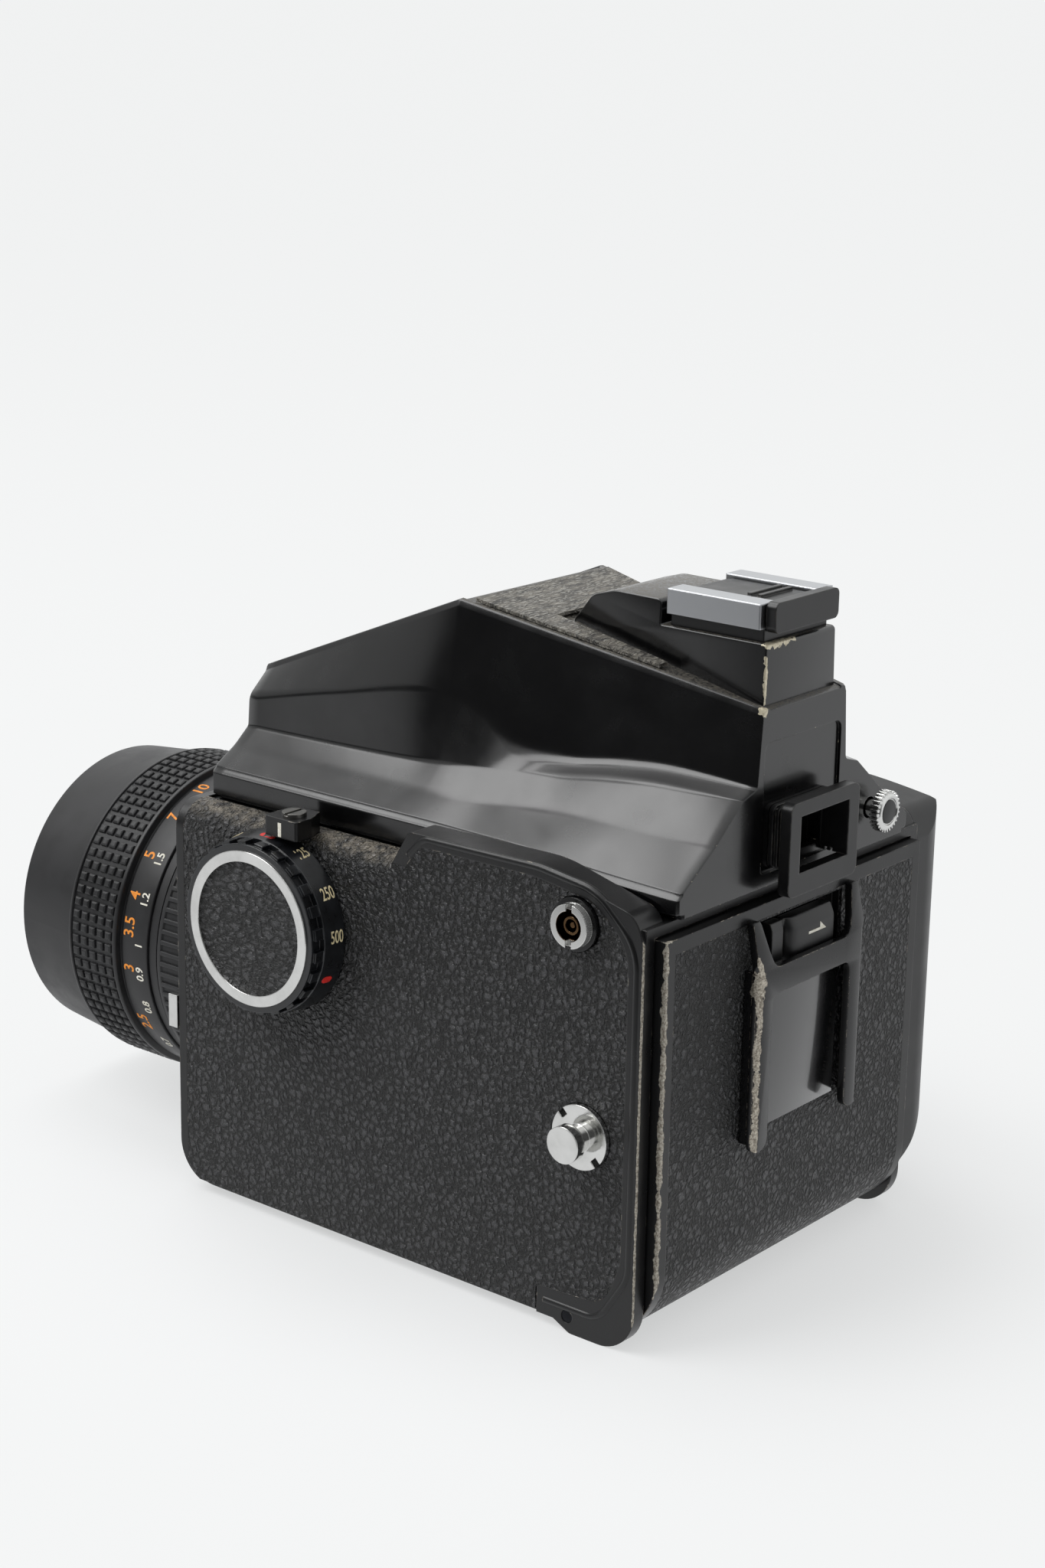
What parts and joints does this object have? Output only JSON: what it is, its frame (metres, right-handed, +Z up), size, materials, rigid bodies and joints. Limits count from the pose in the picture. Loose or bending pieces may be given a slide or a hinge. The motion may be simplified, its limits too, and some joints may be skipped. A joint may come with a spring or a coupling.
{
  "type": "medium format film camera",
  "caption": "Boxy single lens reflex film camera with a prism finder, focusing lens, film advance crank, shutter dial, hinged back door and memo holder.",
  "frame": {"origin": "mouth of the tripod socket, at the surface that the camera stands on, on the lens plane", "axes": "+Z up, the lens looks along -Y, the back door is at +Y and the shutter dial at +X"},
  "size_m": [0.116, 0.1747, 0.126],
  "materials": {
    "body_paint": "satin black paint, worn at the edges",
    "shell_plastic": "fine matt black",
    "leatherette": "fine pebbled black",
    "finder_paint": "semi-gloss black, brassed edges",
    "black_plastic": "satin black",
    "lens_black": "satin black anodised",
    "dial_black": "black anodised, rubbed grey at the teeth",
    "bright_chrome": "polished",
    "steel": "plain",
    "gear_brass": "machined",
    "blade_steel": "blackened",
    "curtain_cloth": "rubberised black cloth",
    "optical_glass": "coated, clear",
    "reflex_mirror": "front silvered"
  },
  "bodies": {
    "camera": {"body_casting": "body_paint", "right_cover": "shell_plastic", "front_plate": "body_paint", "bottom_plate": "shell_plastic", "left_leatherette": "leatherette", "right_leatherette": "leatherette", "front_leatherette": "leatherette", "lens_mount_ring": "bright_chrome", "screws": "steel", "tripod_bush": "steel", "focusing_screen": "optical_glass", "film_insert": "body_paint", "pressure_plate": "blade_steel", "shutter_curtain": "curtain_cloth", "curtain_rollers": "steel", "battery": "steel", "index_block": "body_paint", "flash_socket": "bright_chrome", "strap_lugs": "bright_chrome", "door_hinge_pin": "bright_chrome", "lens_barrel": "lens_black", "rear_glass": "optical_glass"},
    "door": {"back_door": "body_paint", "door_leatherette": "leatherette", "memo_holder": "body_paint"},
    "latch": {"door_latch": "black_plastic"},
    "finder": {"finder_housing": "finder_paint", "finder_leatherette": "leatherette", "finder_prism": "optical_glass", "eyepiece_frame": "black_plastic", "eyepiece_glass": "optical_glass", "accessory_shoe": "bright_chrome"},
    "shoe_cover": {"shoe_cover": "black_plastic"},
    "finder_button": {"finder_release": "bright_chrome"},
    "dial": {"shutter_dial": "dial_black", "dial_ring": "bright_chrome", "dial_leatherette": "leatherette"},
    "focus": {"focus_ring": "lens_black"},
    "lens_front": {"front_barrel": "lens_black", "front_glass": "optical_glass"},
    "aperture": {"aperture_ring": "lens_black"},
    "lens_tab": {"lens_release": "bright_chrome"},
    "button": {"release_button": "bright_chrome"},
    "collar": {"release_collar": "dial_black"},
    "top_button": {"top_button": "bright_chrome"},
    "knob": {"advance_knob": "dial_black"},
    "crank": {"crank_arm": "dial_black"},
    "grip": {"crank_grip": "black_plastic"},
    "take_up": {"take_up_gear": "gear_brass", "take_up_spool": "black_plastic"},
    "supply": {"supply_spool": "black_plastic"},
    "multi_lever": {"multi_exposure_lever": "shell_plastic"},
    "mirror": {"mirror_frame": "dial_black", "mirror_glass": "reflex_mirror"},
    "battery_lid": {"battery_cover": "shell_plastic"},
    "blade_1": {"iris_blade_1": "blade_steel"},
    "blade_2": {"iris_blade_2": "blade_steel"},
    "blade_3": {"iris_blade_3": "blade_steel"},
    "blade_4": {"iris_blade_4": "blade_steel"},
    "blade_5": {"iris_blade_5": "blade_steel"}
  },
  "joints": [
    {"name": "door_hinge", "type": "hinge", "parent": "camera", "child": "door", "pos_m": [0, 0.0442, 0.003], "axis": [-1, 0, 0], "range_deg": [0, 95]},
    {"name": "latch_slide", "type": "slide", "parent": "door", "child": "latch", "axis": [-1, 0, 0], "range_m": [0, 0.003], "stiffness_N_per_m": 300},
    {"name": "finder_lift", "type": "slide", "parent": "camera", "child": "finder", "axis": [0, 0, 1], "range_m": [0, 0.045]},
    {"name": "finder_release_press", "type": "slide", "parent": "finder", "child": "finder_button", "axis": [0, -1, 0], "range_m": [0, 0.0018], "stiffness_N_per_m": 400},
    {"name": "shoe_cover_slide", "type": "slide", "parent": "finder", "child": "shoe_cover", "axis": [0, 1, 0], "range_m": [0, 0.022]},
    {"name": "shutter_dial_turn", "type": "hinge", "parent": "camera", "child": "dial", "pos_m": [0.045, -0.0246, 0.0598], "axis": [1, 0, 0], "range_deg": [-225, 72]},
    {"name": "focus_turn", "type": "hinge", "parent": "camera", "child": "focus", "pos_m": [0, -0.082, 0.0382], "axis": [0, -1, 0], "range_deg": [0, 115]},
    {"name": "focus_travel", "type": "slide", "parent": "camera", "child": "lens_front", "axis": [0, -1, 0], "range_m": [0, 0.0102]},
    {"name": "aperture_turn", "type": "hinge", "parent": "camera", "child": "aperture", "pos_m": [0, -0.0645, 0.0382], "axis": [0, -1, 0], "range_deg": [0, 60]},
    {"name": "lens_release_slide", "type": "slide", "parent": "camera", "child": "lens_tab", "axis": [0, 0, -1], "range_m": [0, 0.004], "stiffness_N_per_m": 200},
    {"name": "release_press", "type": "slide", "parent": "camera", "child": "button", "axis": [0, 1, 0], "range_m": [0, 0.002], "stiffness_N_per_m": 300},
    {"name": "release_lock_turn", "type": "hinge", "parent": "camera", "child": "collar", "pos_m": [-0.0364, -0.0527, 0.0146], "axis": [0, -1, 0], "range_deg": [0, 60]},
    {"name": "top_button_press", "type": "slide", "parent": "camera", "child": "top_button", "axis": [0, 0, -1], "range_m": [0, 0.0015], "stiffness_N_per_m": 300},
    {"name": "advance_turn", "type": "hinge", "parent": "camera", "child": "knob", "pos_m": [-0.0595, 0.012, 0.04592], "axis": [-1, 0, 0], "continuous": true},
    {"name": "crank_fold", "type": "hinge", "parent": "knob", "child": "crank", "pos_m": [-0.0649, 0.017, 0.04592], "axis": [0, 0, -1], "range_deg": [0, 180]},
    {"name": "grip_spin", "type": "hinge", "parent": "crank", "child": "grip", "pos_m": [-0.0605, 0.0035, 0.04592], "axis": [1, 0, 0], "continuous": true},
    {"name": "take_up_turn", "type": "hinge", "parent": "camera", "child": "take_up", "pos_m": [-0.02, 0.0385, 0.0572], "axis": [-1, 0, 0], "continuous": true},
    {"name": "supply_turn", "type": "hinge", "parent": "camera", "child": "supply", "pos_m": [0, 0.0385, 0.0218], "axis": [-1, 0, 0], "continuous": true},
    {"name": "multi_lever_turn", "type": "hinge", "parent": "camera", "child": "multi_lever", "pos_m": [-0.0565, -0.02, 0.058], "axis": [-1, 0, 0], "range_deg": [0, 40]},
    {"name": "mirror_swing", "type": "hinge", "parent": "camera", "child": "mirror", "pos_m": [0, 0.0042, 0.0664], "axis": [-1, 0, 0], "range_deg": [0, 45]},
    {"name": "battery_lid_hinge", "type": "hinge", "parent": "camera", "child": "battery_lid", "pos_m": [0, -0.0414, 0.0012], "axis": [-1, 0, 0], "range_deg": [0, 90]},
    {"name": "iris_blade_1_turn", "type": "hinge", "parent": "camera", "child": "blade_1", "pos_m": [0.0196, -0.064, 0.0382], "axis": [0, -1, 0], "range_deg": [0, 43]},
    {"name": "iris_blade_2_turn", "type": "hinge", "parent": "camera", "child": "blade_2", "pos_m": [0.00606, -0.064, 0.05684], "axis": [0, -1, 0], "range_deg": [0, 43]},
    {"name": "iris_blade_3_turn", "type": "hinge", "parent": "camera", "child": "blade_3", "pos_m": [-0.01586, -0.064, 0.04972], "axis": [0, -1, 0], "range_deg": [0, 43]},
    {"name": "iris_blade_4_turn", "type": "hinge", "parent": "camera", "child": "blade_4", "pos_m": [-0.01586, -0.064, 0.02668], "axis": [0, -1, 0], "range_deg": [0, 43]},
    {"name": "iris_blade_5_turn", "type": "hinge", "parent": "camera", "child": "blade_5", "pos_m": [0.00606, -0.064, 0.01956], "axis": [0, -1, 0], "range_deg": [0, 43]}
  ],
  "couplings": [
    {"joint": "focus_travel", "follows": "focus_turn", "m_per_rad": 0.00508},
    {"joint": "take_up_turn", "follows": "advance_turn", "ratio": -1},
    {"joint": "supply_turn", "follows": "advance_turn", "ratio": -1},
    {"joint": "iris_blade_1_turn", "follows": "aperture_turn", "ratio": 0.7},
    {"joint": "iris_blade_2_turn", "follows": "aperture_turn", "ratio": 0.7},
    {"joint": "iris_blade_3_turn", "follows": "aperture_turn", "ratio": 0.7},
    {"joint": "iris_blade_4_turn", "follows": "aperture_turn", "ratio": 0.7},
    {"joint": "iris_blade_5_turn", "follows": "aperture_turn", "ratio": 0.7}
  ]
}
